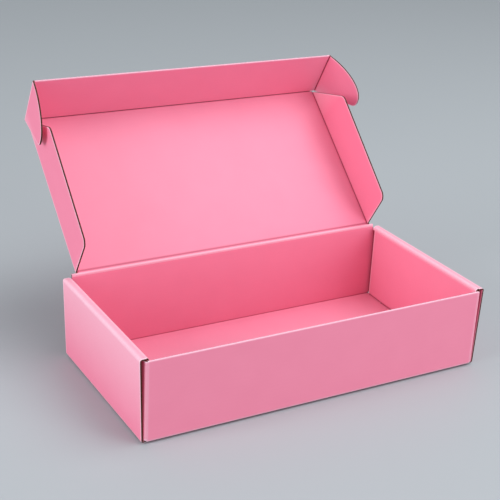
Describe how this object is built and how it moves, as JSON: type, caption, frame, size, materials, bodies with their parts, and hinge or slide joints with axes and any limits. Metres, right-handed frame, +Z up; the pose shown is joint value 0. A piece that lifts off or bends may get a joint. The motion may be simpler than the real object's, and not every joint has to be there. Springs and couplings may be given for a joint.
{
  "type": "mailer shipping box",
  "caption": "Shallow tuck-front corrugated mailer box with rolled side walls, standing open: hinged lid with side flaps and an eared tuck flap that closes behind the front wall.",
  "frame": {"origin": "middle of the tray's underside, on the surface it stands on", "axes": "+X to the right along the hinge, +Y from the front wall to the hinge, +Z up"},
  "size_m": [0.311, 0.2558, 0.2038],
  "materials": {
    "pink_board": "matt pink liner on both faces of E-flute corrugated board, brown core at cut edges"
  },
  "bodies": {
    "tray": {"tray": "pink_board"},
    "lid": {"lid": "pink_board"},
    "left_side_flap": {"left_side_flap": "pink_board"},
    "right_side_flap": {"right_side_flap": "pink_board"},
    "tuck_flap": {"tuck_flap": "pink_board"},
    "left_ear": {"left_ear": "pink_board"},
    "right_ear": {"right_ear": "pink_board"}
  },
  "joints": [
    {"name": "lid_hinge", "type": "hinge", "parent": "tray", "child": "lid", "pos_m": [0, 0.07325, 0.06905], "axis": [1, 0, 0], "range_deg": [-41.5, 138.5]},
    {"name": "left_side_flap_crease", "type": "hinge", "parent": "lid", "child": "left_side_flap", "pos_m": [-0.1374, 0.07275, 0.06961], "axis": [0, 0.749, 0.6626], "range_deg": [0, 75]},
    {"name": "right_side_flap_crease", "type": "hinge", "parent": "lid", "child": "right_side_flap", "pos_m": [0.1374, 0.07275, 0.06961], "axis": [0, -0.749, -0.6626], "range_deg": [0, 75]},
    {"name": "tuck_flap_crease", "type": "hinge", "parent": "lid", "child": "tuck_flap", "pos_m": [0, 0.1811, 0.16447], "axis": [1, 0, 0], "range_deg": [-7.39, 24.55]},
    {"name": "left_ear_crease", "type": "hinge", "parent": "tuck_flap", "child": "left_ear", "pos_m": [-0.14015, 0.1811, 0.16447], "axis": [0, -0.5, 0.866], "range_deg": [-1.64, 5.35]},
    {"name": "right_ear_crease", "type": "hinge", "parent": "tuck_flap", "child": "right_ear", "pos_m": [0.14015, 0.1811, 0.16447], "axis": [0, 0.5, -0.866], "range_deg": [-8.53, 28.35]}
  ],
  "couplings": [
    {"joint": "tuck_flap_crease", "follows": "lid_hinge", "ratio": 0.17689},
    {"joint": "left_ear_crease", "follows": "lid_hinge", "ratio": 0.038267},
    {"joint": "right_ear_crease", "follows": "lid_hinge", "ratio": 0.20433}
  ]
}
